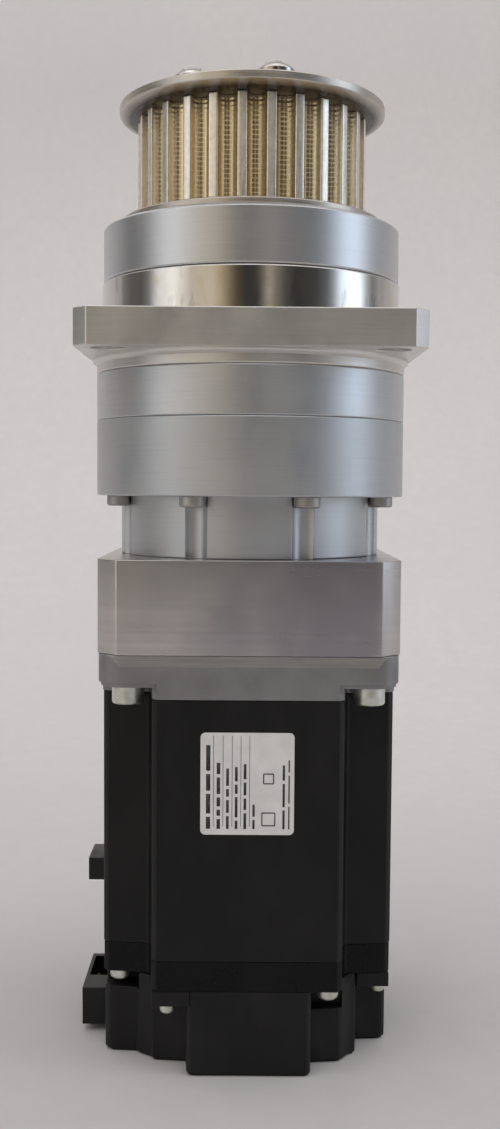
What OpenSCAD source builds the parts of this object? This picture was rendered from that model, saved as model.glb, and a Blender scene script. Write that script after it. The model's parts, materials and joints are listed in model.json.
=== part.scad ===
/* [Mounting flange] */
// Width across the flats of the square mounting flange
flange_w = 91.2; // [89:0.1:93]
// Corner chamfer of the square mounting flange
flange_cut = 3.8; // [3:0.1:5]
// Thickness of the square mounting flange
flange_t = 9.8; // [9:0.1:10.5]
// Distance between the corner holes along one side
flange_pitch = 74.25; // [73.5:0.05:75]
// Diameter of the four corner holes
flange_hole_d = 9; // [6.6:0.1:9.5]
// Outer radius of the locating register band
register_r = 42.5; // [42.3:0.1:43]

/* [Gearhead] */
// Outer radius of the gearhead rings
ring_r = 44.1; // [43.5:0.1:44.3]
// Outer radius of the slim neck below the gear ring
neck_r = 37.05; // [36.6:0.05:37.5]
// Pitch radius of the eight housing screws
case_screw_r = 39.3; // [39.1:0.05:39.5]
// Amount each tooth flank is thinned so that the gears run freely
mesh_gap = 0.035; // [0.025:0.005:0.06]

/* [Belt pulley] */
// Number of belt teeth
pulley_teeth = 26; // [24:1:28]
// Outer radius over the belt teeth
pulley_r = 32.42; // [32.2:0.02:32.6]
// Radius of the upper belt flange
top_disc_r = 37.7; // [36.5:0.1:38.5]
// Radius of the lower belt flange
low_disc_r = 37.1; // [36:0.1:38]
// Outer radius of the drive hub ring
hub_r = 42.1; // [41.6:0.05:42.3]

/* [Motor] */
// Width of the motor's front flange
motor_w = 80; // [79.6:0.1:80.4]
// Width of the motor body
body_w = 79.5; // [79:0.1:79.9]
// Width of the adapter plate
plate_w = 80.4; // [80:0.1:81]
// Radius that the adapter plate's corners are turned to
plate_corner_r = 53.1; // [52:0.1:54]
// Half pitch of the four motor flange bolts along one side
motor_bolt = 32.3; // [31.8:0.05:32.6]
// Radius of the motor shaft where the clamp grips it
shaft_r = 9.5; // [9.3:0.05:9.6]

/* [Hidden] */
$fn = 96;

// heights along the axis; the mounting face is at zero
register_top = 11.3;
step_z = -11.4;
step_w = 1.2;
step_h = 0.8;
seam_1 = -13.95;
seam_2 = -27.08;
neck_top = -48.1;
plate_top = -64.6;
plate_low = -89.7;
motor_corner_r = 6.8;
body_top = -101.4;
ear_low = -98.3;
body_low = -171.6;
bracket_low = -179.8;
base_z = -203.05;
lug_low = -183.9;
hub_low = 11.54;
hub_top = 26.6;
teeth_low = 30.5;
teeth_top = 57.4;
boss_top = 63.9;

// gearhead inside
sleeve_r = 36.8;
seat_r = register_r + 0.6;
seat_depth = 1.2;
edge = 0.3;
out_bearing_or = 34;
out_bearing_ir = 24;
out_ball_pitch = 29;
out_ball_r = 3.1;
out_bearing_w = 9;
out_rows = [seam_1 + out_bearing_w / 2, seam_1 + 1.5 * out_bearing_w];
out_bearing_top = seam_1 + 2 * out_bearing_w;
race_play = 0.06;
seal_gap = 0.04;
nut_r = 29;
ring_or = 35.5;
ring_low = -46;
ring_top = -29;
wall_r = 33;
case_screw_d = 4;
case_hole_r = 2.2;
flute_r = 4;
bore_r = 31;
sun_teeth = 16;
planet_teeth = 24;
ring_teeth = 64;
planet_at = 20;
gear_low = -45.5;
gear_top = -29.5;
pin_r = 4;
pin_top = -22;
carrier_low = -28;
needle_r = 0.95;
planet_bore = 6.02;
in_bearing_or = 23.5;
in_bearing_ir = 15;
in_ball_pitch = 19.25;
in_ball_r = 2.6;
in_bearing_low = -59.8;
in_bearing_w = 9;
in_bearing_top = in_bearing_low + in_bearing_w;
in_seal_or = 21;
in_seal_top = in_bearing_low - 0.8;
case_screw_a = 22.5;
adapter_screw_r = 31.2;
adapter_screw_d = 4;
collar_low = -84;
collar_top = -70;
collar_r = 25.2;
sleeve_or = 14;
sleeve_low = -87.6;
slit = 1.5;
clamp_z = -77;
clamp_y = 18.2;
clamp_screw_d = 5;
clamp_head_x = 6.4;
access_r = 6;
bell_low = -86.2;
adapter_seat = -69.6;
pulley_screw_r = 23.5;
pulley_screw_a = -74.7;
hub_screw_r = 14;
hub_screw_d = 6;
hub_screw_seat = 19.4;
hub_seat = 14.5;
spigot_r = 30;
spigot_h = 1.5;
pulley_screw_d = 6;
recess_r = 14;
recess_low = 38;
through_r = 8;
tooth_a = -94.73;
low_disc_seat = 28.5;
disc_t = 2.3;
top_disc_seat = 28.5;

// motor inside
frame_r = 33.5;
mot_seal_or = 16;
pilot_r = 35;
pilot_top = -86.7;
core_low = -156;
core_top = -112;
stator_bore = 19.3;
teeth_n = 12;
mot_bearing_ir = 10;
mot_bearing_or = 21;
rear_bearing_ir = 7.5;
rear_bearing_or = 17.5;
front_bearing_z = [-106.4, -94.4];
rear_bearing_z = [-177.5, -166.5];
bracket_screw = [21.8, -35.3];
cover_screw = [-21.3, -36.8];
cavity_r = 27;
pocket_depth = [8, 8, 8, 4.7];
board_screw_r = 20.5;
power_foot = 11.2;
socket_floor = -198.8;

silver = [0.72, 0.72, 0.71];
steel = [0.62, 0.62, 0.62];
dark = [0.12, 0.12, 0.12];
cast = [0.38, 0.38, 0.37];
zinc = [0.75, 0.76, 0.72];
nickel = [0.72, 0.68, 0.58];
black = [0.05, 0.05, 0.05];
copper = [0.72, 0.42, 0.22];

function polar(r, a) = [r * cos(a), r * sin(a)];
function involute_a(rb, r) = sqrt(max(0, r * r / (rb * rb) - 1)) * 180 / PI
    - acos(min(1, rb / r));
function half_a(n, r, extra) = 90 / n + involute_a(n / 2 * cos(20), n / 2)
    - involute_a(n / 2 * cos(20), max(r, n / 2 * cos(20))) + extra / r * 180 / PI;

module tube(r_out, r_in, low, high) {
    translate([0, 0, low])
        difference() {
            cylinder(r = r_out, h = high - low);
            translate([0, 0, -1]) cylinder(r = r_in, h = high - low + 2);
        }
}

module post(r, low, high) {
    translate([0, 0, low]) cylinder(r = r, h = high - low);
}

module turn(points) {
    rotate_extrude() polygon(points);
}

module around(n, start) {
    for (i = [0 : n - 1]) rotate([0, 0, start + 360 / n * i]) children();
}

module corners(at) {
    for (x = [-at, at]) for (y = [-at, at]) translate([x, y, 0]) children();
}

// square with cut corners
module cut_square(w, c) {
    h = w / 2;
    polygon([[-h + c, -h], [h - c, -h], [h, -h + c], [h, h - c],
        [h - c, h], [-h + c, h], [-h, h - c], [-h, -h + c]]);
}

// square block with round upright corners
module round_block(w, r, low, high) {
    flat = w - 2 * r;
    translate([-w / 2, -flat / 2, low]) cube([w, flat, high - low]);
    translate([-flat / 2, -w / 2, low]) cube([flat, w, high - low]);
    corners(flat / 2) post(r, low, high);
}

// involute gear of module 1; extra widens each tooth flank
module gear_2d(n, tip, root, extra) {
    steps = [0 : 6];
    low = max(root, n / 2 * cos(20));
    function at(i) = low + (tip - low) * i / 6;
    polygon([for (k = [0 : n - 1]) let (c = 360 / n * k) each concat(
        [polar(root, c - half_a(n, low, extra) - 0.2)],
        [for (i = steps) polar(at(i), c - half_a(n, at(i), extra))],
        [for (i = steps) polar(at(6 - i), c + half_a(n, at(6 - i), extra))],
        [polar(root, c + half_a(n, low, extra) + 0.2)])]);
}

// socket head screw with its head face at z = 0 and its shank rising to +z
module cap_screw(d, head_d, head_h, len, hex) {
    difference() {
        union() {
            cylinder(d = d, h = len);
            translate([0, 0, -head_h + 0.4]) cylinder(d = head_d, h = head_h - 0.4);
            translate([0, 0, -head_h]) cylinder(d1 = head_d - 0.8, d2 = head_d, h = 0.4);
        }
        translate([0, 0, -head_h - 1]) cylinder(d = hex / cos(30), h = head_h * 0.5 + 1, $fn = 6);
    }
}

// domed cross-recess screw with its head face at z = 0 and its shank going down
module dome_screw(d, head_d, side_h, head_h, len) {
    dome_h = head_h - side_h;
    ball = (head_d * head_d / 4 + dome_h * dome_h) / 2 / dome_h;
    cross = head_d * 0.45;
    difference() {
        union() {
            translate([0, 0, -len]) cylinder(d = d, h = len);
            intersection() {
                cylinder(d = head_d, h = head_h);
                translate([0, 0, head_h - ball]) sphere(r = ball);
            }
        }
        for (a = [0, 90]) rotate([0, 0, a]) translate([-cross / 2, -0.5, head_h * 0.45])
            cube([cross, 1, head_h]);
    }
}

// pan head screw with its head face at z = 0, head below, shank rising to +z
module pan_screw(d, head_d, head_h, len) {
    r = head_d / 2;
    difference() {
        union() {
            cylinder(d = d, h = len);
            turn([[0, 0], [r, 0], [r, -head_h * 0.6], [r * 0.94, -head_h * 0.8],
                [r * 0.78, -head_h * 0.94], [r * 0.5, -head_h], [0, -head_h]]);
        }
        for (a = [0, 90]) rotate([0, 0, a]) translate([-head_d * 0.3, -0.3, -head_h - 1])
            cube([head_d * 0.6, 0.6, 1 + head_h * 0.5]);
    }
}

// ring with a ball groove of the given pitch on its bore or its outside
module race(r_out, r_in, low, w, pitch, ball) {
    difference() {
        tube(r_out, r_in, low, low + w);
        translate([0, 0, low + w / 2]) rotate_extrude()
            translate([pitch, 0]) circle(r = ball + race_play);
    }
}

module balls(n, pitch, ball, mid) {
    around(n, 0) translate([pitch, 0, mid]) sphere(r = ball);
}

module cage(n, pitch, ball, mid, r_in, r_out, w) {
    difference() {
        tube(r_out, r_in, mid - w / 2, mid + w / 2);
        around(n, 0) translate([pitch - 10, 0, mid]) rotate([0, 90, 0])
            cylinder(r = ball + 0.05, h = 20);
    }
}

// ---------- gearhead housing ----------

module flange_housing() color(silver) {
    difference() {
        union() {
            translate([0, 0, -flange_t]) linear_extrude(flange_t) cut_square(flange_w, flange_cut);
            post(ring_r + step_w, step_z + step_h, -flange_t);
            translate([0, 0, step_z]) cylinder(r1 = ring_r, r2 = ring_r + step_w, h = step_h);
            post(ring_r, seam_1 + edge, step_z);
            translate([0, 0, seam_1]) cylinder(r1 = ring_r - edge, r2 = ring_r, h = edge);
        }
        post(sleeve_r, seam_1 - 1, 1);
        post(seat_r, -seat_depth, 1);
        corners(flange_pitch / 2) post(flange_hole_d / 2, -flange_t - 5, 1);
        around(8, case_screw_a) translate([case_screw_r, 0, 0])
            post(case_screw_d / 2, seam_1 - 1, -4);
    }
}

module register_sleeve() color(steel) {
    lip_r = out_bearing_or - 3.5;
    lip_t = 1;
    turn([[out_bearing_or, seam_1], [sleeve_r, seam_1], [sleeve_r, -seat_depth],
        [seat_r, -seat_depth], [seat_r, 0], [register_r, 0],
        [register_r, register_top - 0.4], [register_r - 0.4, register_top],
        [out_bearing_or + edge, register_top], [out_bearing_or, register_top - edge],
        [out_bearing_or, out_bearing_top + lip_t], [lip_r, out_bearing_top + lip_t],
        [lip_r, out_bearing_top], [out_bearing_or, out_bearing_top]]);
}

module spacer_ring() color(silver) {
    difference() {
        turn([[bore_r, seam_2], [ring_r - edge, seam_2], [ring_r, seam_2 + edge],
            [ring_r, seam_1 - edge], [ring_r - edge, seam_1], [bore_r, seam_1]]);
        around(8, case_screw_a) translate([case_screw_r, 0, 0]) post(case_hole_r, seam_2 - 1, 0);
    }
}

module gear_housing() color(silver) {
    difference() {
        turn([[wall_r, neck_top], [ring_r - edge, neck_top], [ring_r, neck_top + edge],
            [ring_r, seam_2 - edge], [ring_r - edge, seam_2], [ring_or, seam_2],
            [ring_or, ring_low], [wall_r, ring_low]]);
        around(8, case_screw_a) translate([case_screw_r, 0, 0])
            post(case_hole_r, neck_top - 1, seam_2 + 1);
    }
    difference() {
        turn([[in_seal_or, plate_top], [neck_r - edge, plate_top], [neck_r, plate_top + edge],
            [neck_r, neck_top], [wall_r, neck_top], [wall_r, in_bearing_top],
            [in_bearing_or, in_bearing_top], [in_bearing_or, in_bearing_low],
            [in_seal_or - 1, in_bearing_low], [in_seal_or - 1, in_seal_top],
            [in_seal_or, in_seal_top]]);
        around(8, case_screw_a) translate([case_screw_r, 0, 0])
            post(flute_r, plate_top - 1, neck_top + 1);
        around(4, 0) translate([adapter_screw_r, 0, 0])
            post(adapter_screw_d / 2, plate_top - 1, -54.6);
    }
}

module ring_gear() color(steel) {
    difference() {
        post(ring_or, ring_low, ring_top);
        translate([0, 0, ring_low - 1]) linear_extrude(ring_top - ring_low + 2)
            rotate([0, 0, 180 / ring_teeth]) gear_2d(ring_teeth, 33.25, bore_r, mesh_gap);
    }
    tube(ring_or, ring_or - 2.2, ring_top, seam_2);
}

module housing_screws() color(zinc) {
    around(8, case_screw_a) translate([case_screw_r, 0, neck_top])
        cap_screw(case_screw_d, 7, 2.85, 42, 3);
}

module output_bearing_outer() color(steel) {
    for (z = out_rows) race(out_bearing_or, out_ball_pitch + 1.6, z - out_bearing_w / 2,
        out_bearing_w, out_ball_pitch, out_ball_r);
}

module output_bearing_inner() color(steel) {
    for (z = out_rows) race(out_ball_pitch - 1.6, out_bearing_ir, z - out_bearing_w / 2,
        out_bearing_w, out_ball_pitch, out_ball_r);
}

module output_bearing_cage() color(nickel) {
    for (z = out_rows) cage(22, out_ball_pitch, out_ball_r, z, 28.2, 29.8, 7.6);
}

module output_bearing_balls() color(steel) {
    for (z = out_rows) balls(22, out_ball_pitch, out_ball_r, z);
}

module output_seal() color(black) {
    run_r = nut_r + seal_gap;
    turn([[run_r, 5.6], [run_r + 0.36, 5.2], [out_bearing_or, 5.2], [out_bearing_or, 10.4],
        [32.8, 10.4], [32.8, 7], [30.6, 7], [30.2, 9.4], [run_r, 9.4]]);
}

module input_bearing_outer() color(steel) {
    race(in_bearing_or, in_ball_pitch + 1.4, in_bearing_low, in_bearing_w,
        in_ball_pitch, in_ball_r);
}

module input_bearing_inner() color(steel) {
    race(in_ball_pitch - 1.4, in_bearing_ir, in_bearing_low, in_bearing_w,
        in_ball_pitch, in_ball_r);
}

module input_bearing_cage() color(nickel) {
    cage(16, in_ball_pitch, in_ball_r, in_bearing_low + in_bearing_w / 2, 18.6, 19.9, 7);
}

module input_bearing_balls() color(steel) {
    balls(16, in_ball_pitch, in_ball_r, in_bearing_low + in_bearing_w / 2);
}

module input_seal() color(black) {
    run_r = in_bearing_ir + seal_gap;
    turn([[run_r, plate_top + 0.6], [in_seal_or, plate_top], [in_seal_or, -60.7],
        [19.4, -60.7], [19.4, -63.2], [16.4, -63.2], [run_r, -61.6]]);
}

// ---------- adapter plate ----------

module adapter_plate() color([0.66, 0.6, 0.57]) {
    difference() {
        intersection() {
            translate([-plate_w / 2, -plate_w / 2, plate_low])
                cube([plate_w, plate_w, plate_top - plate_low]);
            post(plate_corner_r, plate_low - 1, plate_top + 1);
        }
        post(pilot_r, plate_low - 1, bell_low);
        post(27, bell_low - 1, -66.6);
        post(16.5, -67, plate_top + 1);
        around(4, 0) translate([adapter_screw_r, 0, 0]) {
            post(3.6, bell_low - 1, adapter_seat);
            post(adapter_screw_d / 2 + 0.2, adapter_seat - 1, plate_top + 1);
        }
        corners(motor_bolt) post(2.5, plate_low - 1, -74);
        translate([15, clamp_y, clamp_z]) rotate([0, 90, 0]) cylinder(r = access_r, h = 30);
    }
}

module adapter_screws() color(zinc) {
    around(4, 0) translate([adapter_screw_r, 0, adapter_seat])
        cap_screw(adapter_screw_d, 7, 4, 14.5, 3);
}

module access_plug() color(black) {
    plug_in = 34;
    translate([plug_in, clamp_y, clamp_z]) rotate([0, 90, 0]) difference() {
        union() {
            cylinder(r = access_r, h = plate_w / 2 - plug_in);
            translate([0, 0, plate_w / 2 - plug_in]) cylinder(r = access_r + 1.5, h = 0.8);
        }
        translate([0, 0, -1]) cylinder(r = access_r - 1.2, h = 5.8);
    }
}

// ---------- turning output ----------

module planet_carrier() color(steel) {
    difference() {
        union() {
            turn([[0, carrier_low], [30, carrier_low], [30, -15.6], [27, -15.6], [27, seam_1],
                [out_bearing_ir, seam_1], [out_bearing_ir, hub_seat - 0.4],
                [out_bearing_ir - 0.4, hub_seat], [0, hub_seat]]);
            tube(30.6, 12.5, -49.6, -46.2);
            around(4, 45) translate([25.5, 0, 0]) post(4.4, -47, carrier_low + 1);
        }
        around(4, 0) translate([planet_at, 0, 0]) post(pin_r, -50, pin_top);
        around(6, pulley_screw_a + 30) translate([hub_screw_r, 0, 0])
            post(hub_screw_d / 2, 0, hub_seat + 1);
    }
}

module planet_pins() color(steel) {
    around(4, 0) translate([planet_at, 0, 0]) post(pin_r, -49.4, pin_top);
}

module planet_gear() color(steel) {
    translate([0, 0, gear_low]) linear_extrude(gear_top - gear_low) difference() {
        rotate([0, 0, 180 / planet_teeth]) gear_2d(planet_teeth, 13, 10.75, -mesh_gap);
        circle(r = planet_bore);
    }
}

module needle_set() color(steel) {
    around(14, 0) translate([(pin_r + planet_bore) / 2, 0, 0])
        post(needle_r, gear_low + 0.4, gear_top - 0.4);
}

module planet_1() translate([planet_at, 0, 0]) planet_gear();

module planet_2() translate([0, planet_at, 0]) planet_gear();

module planet_3() translate([-planet_at, 0, 0]) planet_gear();

module planet_4() translate([0, -planet_at, 0]) planet_gear();

module needles_1() translate([planet_at, 0, 0]) needle_set();

module needles_2() translate([0, planet_at, 0]) needle_set();

module needles_3() translate([-planet_at, 0, 0]) needle_set();

module needles_4() translate([0, -planet_at, 0]) needle_set();

module bearing_nut() color(steel) {
    difference() {
        tube(nut_r, out_bearing_ir, out_bearing_top, 10.9);
        around(4, 0) translate([26, -2.5, 9.8]) cube([5, 5, 5]);
    }
}

module drive_hub() color(silver) {
    difference() {
        turn([[0, hub_seat], [out_bearing_ir, hub_seat], [out_bearing_ir, hub_low],
            [hub_r - 0.4, hub_low], [hub_r, hub_low + 0.4], [hub_r, hub_top - 0.6],
            [hub_r - 0.6, hub_top], [spigot_r, hub_top], [spigot_r, hub_top - spigot_h],
            [0, hub_top - spigot_h]]);
        around(6, pulley_screw_a + 30) translate([hub_screw_r, 0, 0]) {
            post(hub_screw_d / 2 + 0.3, hub_seat - 1, hub_top);
            post(5.2, hub_screw_seat, hub_top);
        }
        around(6, pulley_screw_a) translate([pulley_screw_r, 0, 0])
            post(pulley_screw_d / 2, 15.5, hub_top);
    }
}

module hub_screws() color(dark) {
    around(6, pulley_screw_a + 30) translate([hub_screw_r, 0, hub_screw_seat])
        rotate([180, 0, 0]) cap_screw(hub_screw_d, 10, 5.6, 19, 5);
}

// ---------- belt pulley ----------

module pulley_2d() {
    depth = 3.45;
    gullet = 2.55;
    difference() {
        circle(r = pulley_r, $fn = 180);
        for (i = [0 : pulley_teeth - 1]) rotate(tooth_a + 360 / pulley_teeth * (i + 0.5)) {
            translate([pulley_r - depth + gullet, 0]) circle(r = gullet, $fn = 48);
            polygon([[pulley_r - depth + gullet, -gullet], [pulley_r + 0.4, -gullet - 0.12],
                [pulley_r + 0.4, gullet + 0.12], [pulley_r - depth + gullet, gullet]]);
        }
    }
}

module belt_pulley() color(nickel) {
    difference() {
        union() {
            post(spigot_r, hub_top - spigot_h, hub_top);
            post(low_disc_seat, hub_top, teeth_low);
            translate([0, 0, teeth_low]) linear_extrude(teeth_top - teeth_low) pulley_2d();
            post(top_disc_seat, teeth_top, boss_top - 0.8);
            translate([0, 0, boss_top - 0.8])
                cylinder(r1 = top_disc_seat, r2 = top_disc_seat - 0.8, h = 0.8);
        }
        post(recess_r, recess_low, boss_top + 1);
        post(through_r, hub_top - 3, recess_low + 1);
        translate([0, 0, boss_top - 1]) cylinder(r1 = recess_r, r2 = recess_r + 1, h = 1);
        around(6, pulley_screw_a) translate([pulley_screw_r, 0, 0])
            post(pulley_screw_d / 2 + 0.3, hub_top - 3, boss_top + 1);
    }
}

module pulley_top_disc() color(nickel) {
    rim_low = 58.9;
    rim_top = 61.3;
    turn([[top_disc_seat, teeth_top], [pulley_r, teeth_top], [top_disc_r - edge, rim_low],
        [top_disc_r, rim_low + edge], [top_disc_r, rim_top - edge], [top_disc_r - edge, rim_top],
        [pulley_r, teeth_top + disc_t], [top_disc_seat, teeth_top + disc_t]]);
}

module pulley_low_disc() color(nickel) {
    rim_low = 27.6;
    rim_top = 29.4;
    turn([[low_disc_seat, teeth_low], [low_disc_seat, 28.8], [pulley_r, 28.8],
        [low_disc_r - edge, rim_low], [low_disc_r, rim_low + edge], [low_disc_r, rim_top - edge],
        [low_disc_r - edge, rim_top], [pulley_r, teeth_low]]);
}

module pulley_screws() color(zinc) {
    around(6, pulley_screw_a) translate([pulley_screw_r, 0, boss_top])
        dome_screw(pulley_screw_d, 10.5, 1.3, 3.9, 47.3);
}

// ---------- turning input ----------

module input_shaft() color(steel) {
    difference() {
        union() {
            translate([0, 0, ring_low]) linear_extrude(ring_top - ring_low)
                gear_2d(sun_teeth, 9, 6.75, -mesh_gap);
            post(6.7, ring_low - 1, ring_low);
            post(11.5, in_bearing_top + 0.5, ring_low - 0.6);
            post(16.4, in_bearing_top, in_bearing_top + 0.5);
            post(in_bearing_ir, plate_top - 1, in_bearing_top);
            post(sleeve_or, sleeve_low, plate_top - 1);
            tube(sleeve_or + 1, 10, collar_top + 0.4, -68.4);
        }
        post(shaft_r, sleeve_low - 1, -53);
        for (a = [0, 90]) rotate([0, 0, a]) translate([-20, -slit / 2, sleeve_low - 1])
            cube([40, slit, 19]);
    }
}

module clamp_collar() color(dark) {
    difference() {
        tube(collar_r, sleeve_or, collar_low, collar_top);
        translate([-1, 5, collar_low - 1]) cube([2, 30, collar_top - collar_low + 2]);
        translate([0, clamp_y, clamp_z]) rotate([0, 90, 0]) {
            translate([0, 0, -10.5]) cylinder(d = clamp_screw_d, h = 20);
            translate([0, 0, clamp_head_x]) cylinder(r = 4.4, h = 30);
        }
    }
}

module clamp_screw() color(zinc) {
    translate([clamp_head_x, clamp_y, clamp_z]) rotate([0, -90, 0])
        cap_screw(clamp_screw_d, 8.5, 4.6, 16, 4);
}

// ---------- motor ----------

// plan of the motor body with its four notched corners
module body_2d(w) {
    h = w / 2;
    one = [[24, -h], [25.4, -h + 1.4], [26.5, -27.9], [27.9, -26.5], [h - 1.4, -25.4], [h, -24]];
    polygon([for (k = [0 : 3]) each [for (p = one)
        [p[0] * cos(90 * k) - p[1] * sin(90 * k), p[0] * sin(90 * k) + p[1] * cos(90 * k)]]]);
}

module motor_flange() color(cast) {
    difference() {
        union() {
            round_block(motor_w, motor_corner_r, ear_low + 1, plate_low);
            round_block(motor_w - 1.2, motor_corner_r - 0.6, ear_low, ear_low + 2);
            translate([0, 0, body_top]) linear_extrude(ear_low + 2 - body_top) body_2d(motor_w);
            post(frame_r, front_bearing_z[0], body_top);
            post(pilot_r, plate_low, pilot_top);
        }
        post(mot_bearing_or, front_bearing_z[0] - 1, front_bearing_z[1]);
        post(13, front_bearing_z[1] - 1, -92);
        post(mot_seal_or, -92.2, -86);
        corners(motor_bolt) post(2.7, -107, -80);
    }
}

module motor_bolts() color(zinc) {
    corners(motor_bolt) translate([0, 0, ear_low]) cap_screw(5, 8.5, 5.1, 23.8, 4);
}

module motor_seal() color(black) {
    run_r = shaft_r + seal_gap;
    turn([[run_r, -91.6], [mot_seal_or, -91.6], [mot_seal_or, -86.9], [14.6, -86.9], [14.6, -90],
        [11.4, -90], [run_r, -88.6]]);
}

module stator_frame() color(black) {
    difference() {
        translate([0, 0, body_low]) linear_extrude(body_top - body_low) body_2d(body_w);
        post(frame_r, body_low - 1, body_top + 1);
        around(4, 0) translate([bracket_screw[0], bracket_screw[1], 0]) post(1.5, body_low - 1, -160);
        translate([-45, -power_foot / 2, -159.5]) cube([20, power_foot, 5.5]);
    }
}

module core_2d() {
    difference() {
        circle(r = frame_r);
        circle(r = 29.8);
    }
    intersection() {
        difference() {
            circle(r = 30.2);
            circle(r = stator_bore);
        }
        union() {
            for (i = [0 : teeth_n - 1]) rotate(360 / teeth_n * i)
                translate([0, -3]) square([32, 6]);
        }
    }
    for (i = [0 : teeth_n - 1]) rotate(360 / teeth_n * i) difference() {
        intersection() {
            circle(r = 21.4);
            polygon([[0, 0], polar(30, -12.4), polar(30, 12.4)]);
        }
        circle(r = stator_bore);
    }
}

module stator_core() color(cast) {
    translate([0, 0, core_low]) linear_extrude(core_top - core_low) core_2d();
}

module stator_windings() color(copper) {
    around(teeth_n, 0) difference() {
        translate([22.8, -5.2, core_low - 2.4]) cube([6.2, 10.4, core_top - core_low + 4.8]);
        translate([22, -3, core_low - 0.1]) cube([8, 6, core_top - core_low + 0.2]);
    }
}

module motor_shaft() color(steel) {
    turn([[0, -54.5], [shaft_r - 0.6, -54.5], [shaft_r, -55.1], [shaft_r, -93.2],
        [mot_bearing_ir, -93.2], [mot_bearing_ir, -106.4], [12.5, -106.4], [12.5, -110],
        [11, -110], [11, -160], [9.4, -160], [9.4, -166.5], [rear_bearing_ir, -166.5],
        [rear_bearing_ir, -178.4], [4, -178.4], [4, -190], [0, -190]]);
}

module rotor_core() color(cast) {
    tube(15.6, 11, -158, -110);
}

module rotor_magnets() color(dark) {
    around(8, 0) intersection() {
        tube(18.6, 15.6, -156, -112);
        translate([0, 0, -156]) linear_extrude(44)
            polygon([[0, 0], polar(30, -20.6), polar(30, 20.6)]);
    }
}

module motor_bearing_outer() color(steel) {
    race(mot_bearing_or, 17, front_bearing_z[0], 12, 15.5, 3.2);
    race(rear_bearing_or, 13.9, rear_bearing_z[0], 11, 12.5, 2.58);
}

module motor_bearing_inner() color(steel) {
    race(14, mot_bearing_ir, front_bearing_z[0], 12, 15.5, 3.2);
    race(11.1, rear_bearing_ir, rear_bearing_z[0], 11, 12.5, 2.58);
}

module motor_bearing_balls() color(steel) {
    balls(10, 15.5, 3.2, front_bearing_z[0] + 6);
    balls(9, 12.5, 2.58, rear_bearing_z[0] + 5.5);
}

module rear_bracket() color(black) {
    difference() {
        union() {
            translate([0, 0, bracket_low]) linear_extrude(body_low - bracket_low)
                body_2d(body_w - 0.3);
            tube(frame_r, 30.5, body_low, -168);
            post(22, body_low, -165);
        }
        post(rear_bearing_or, rear_bearing_z[0], -160);
        post(9, bracket_low - 1, rear_bearing_z[0] + 0.5);
        around(4, 0) translate([bracket_screw[0], bracket_screw[1], 0])
            post(1.7, bracket_low - 1, body_low + 1);
        around(4, 0) translate([cover_screw[0], cover_screw[1], 0])
            post(1, bracket_low - 1, -176.5);
        around(3, 30) translate([board_screw_r, 0, 0]) post(1.25, bracket_low - 1, -175.8);
    }
}

module bracket_screws() color(zinc) {
    around(4, 0) translate([bracket_screw[0], bracket_screw[1], bracket_low])
        pan_screw(3, 5.8, 3.1, 19.5);
}

// ---------- encoder ----------

module encoder_disc() color(silver) {
    tube(15, 4, -187.4, -186.6);
    tube(7, 4, -186.6, -181.5);
}

module encoder_board() color([0.05, 0.3, 0.15]) {
    difference() {
        post(24.5, -192.6, -191);
        around(3, 30) translate([board_screw_r, 0, 0]) post(1.25, -193, -190);
    }
    translate([8, -4, -191]) cube([8, 8, 2.4]);
    translate([-16, -6, -191]) cube([5, 12, 1.6]);
    translate([-9, 9, -194]) cube([14, 8, 1.4]);
}

// three spacers and the screws that hold the board on them
module board_screws() color(zinc) {
    around(3, 30) translate([board_screw_r, 0, 0]) {
        tube(2.6, 1.25, -191, bracket_low);
        translate([0, 0, -192.6]) pan_screw(2.5, 4.6, 1.9, 16.6);
    }
}

module cover_2d() {
    one = [[-26.4, -28.6], [-25.6, -30.2], [-16.6, -31.2], [-16, -38.4], [-14.9, -39.5],
        [16.1, -39.5], [17.2, -38.4], [17.6, -31.4], [25.4, -30.6], [26.4, -29.6]];
    polygon([for (k = [0 : 3]) each [for (p = one)
        [p[0] * cos(90 * k) - p[1] * sin(90 * k), p[0] * sin(90 * k) + p[1] * cos(90 * k)]]]);
    polygon([[-39.5, 0], [-39.5, -22.6], [-38, -24.2], [-28.2, -25.2], [-25, 0]]);
}

module encoder_cover() color(black) {
    difference() {
        union() {
            translate([0, 0, base_z + 0.8]) linear_extrude(bracket_low - base_z - 0.8) cover_2d();
            translate([0, 0, base_z]) linear_extrude(0.8) scale(0.985) cover_2d();
            around(4, 0) translate([-25.4, -39.5, lug_low])
                cube([10.2, 9, bracket_low - lug_low]);
        }
        post(cavity_r, base_z + 2.4, bracket_low + 1);
        around(4, 0) translate([cover_screw[0], cover_screw[1], 0])
            post(1.1, base_z - 1, bracket_low + 1);
        for (i = [0 : 3]) rotate([0, 0, 90 * i])
            translate([17.7, -41, bracket_low - pocket_depth[i]]) cube([8.4, 13.4, 9]);
        translate([-41, -8, -200]) cube([16, 16, 6]);
    }
}

module cover_screws() color(zinc) {
    around(4, 0) translate([cover_screw[0], cover_screw[1], lug_low]) pan_screw(2, 4, 2.5, 7.2);
}

// power and signal sockets on the left side
module connectors() color(black) {
    difference() {
        union() {
            translate([-46.1, -7.1, -160]) cube([46.1 - body_w / 2, 14.2, 6.5]);
            translate([-body_w / 2, -power_foot / 2, -159.5]) cube([4.2, power_foot, 5.5]);
        }
        for (i = [0 : 3]) translate([-47, -5.9 + 3.1 * i, -158.6]) cube([7.4, 2.5, 3.6]);
    }
    difference() {
        union() {
            translate([-47.4, -12, -201]) cube([7.9, 26.6, 10.8]);
            translate([-39.5, -8, -200]) cube([5, 16, 6]);
        }
        translate([-46.4, -2.2, socket_floor]) cube([5.8, 14.4, 10]);
    }
}

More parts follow.
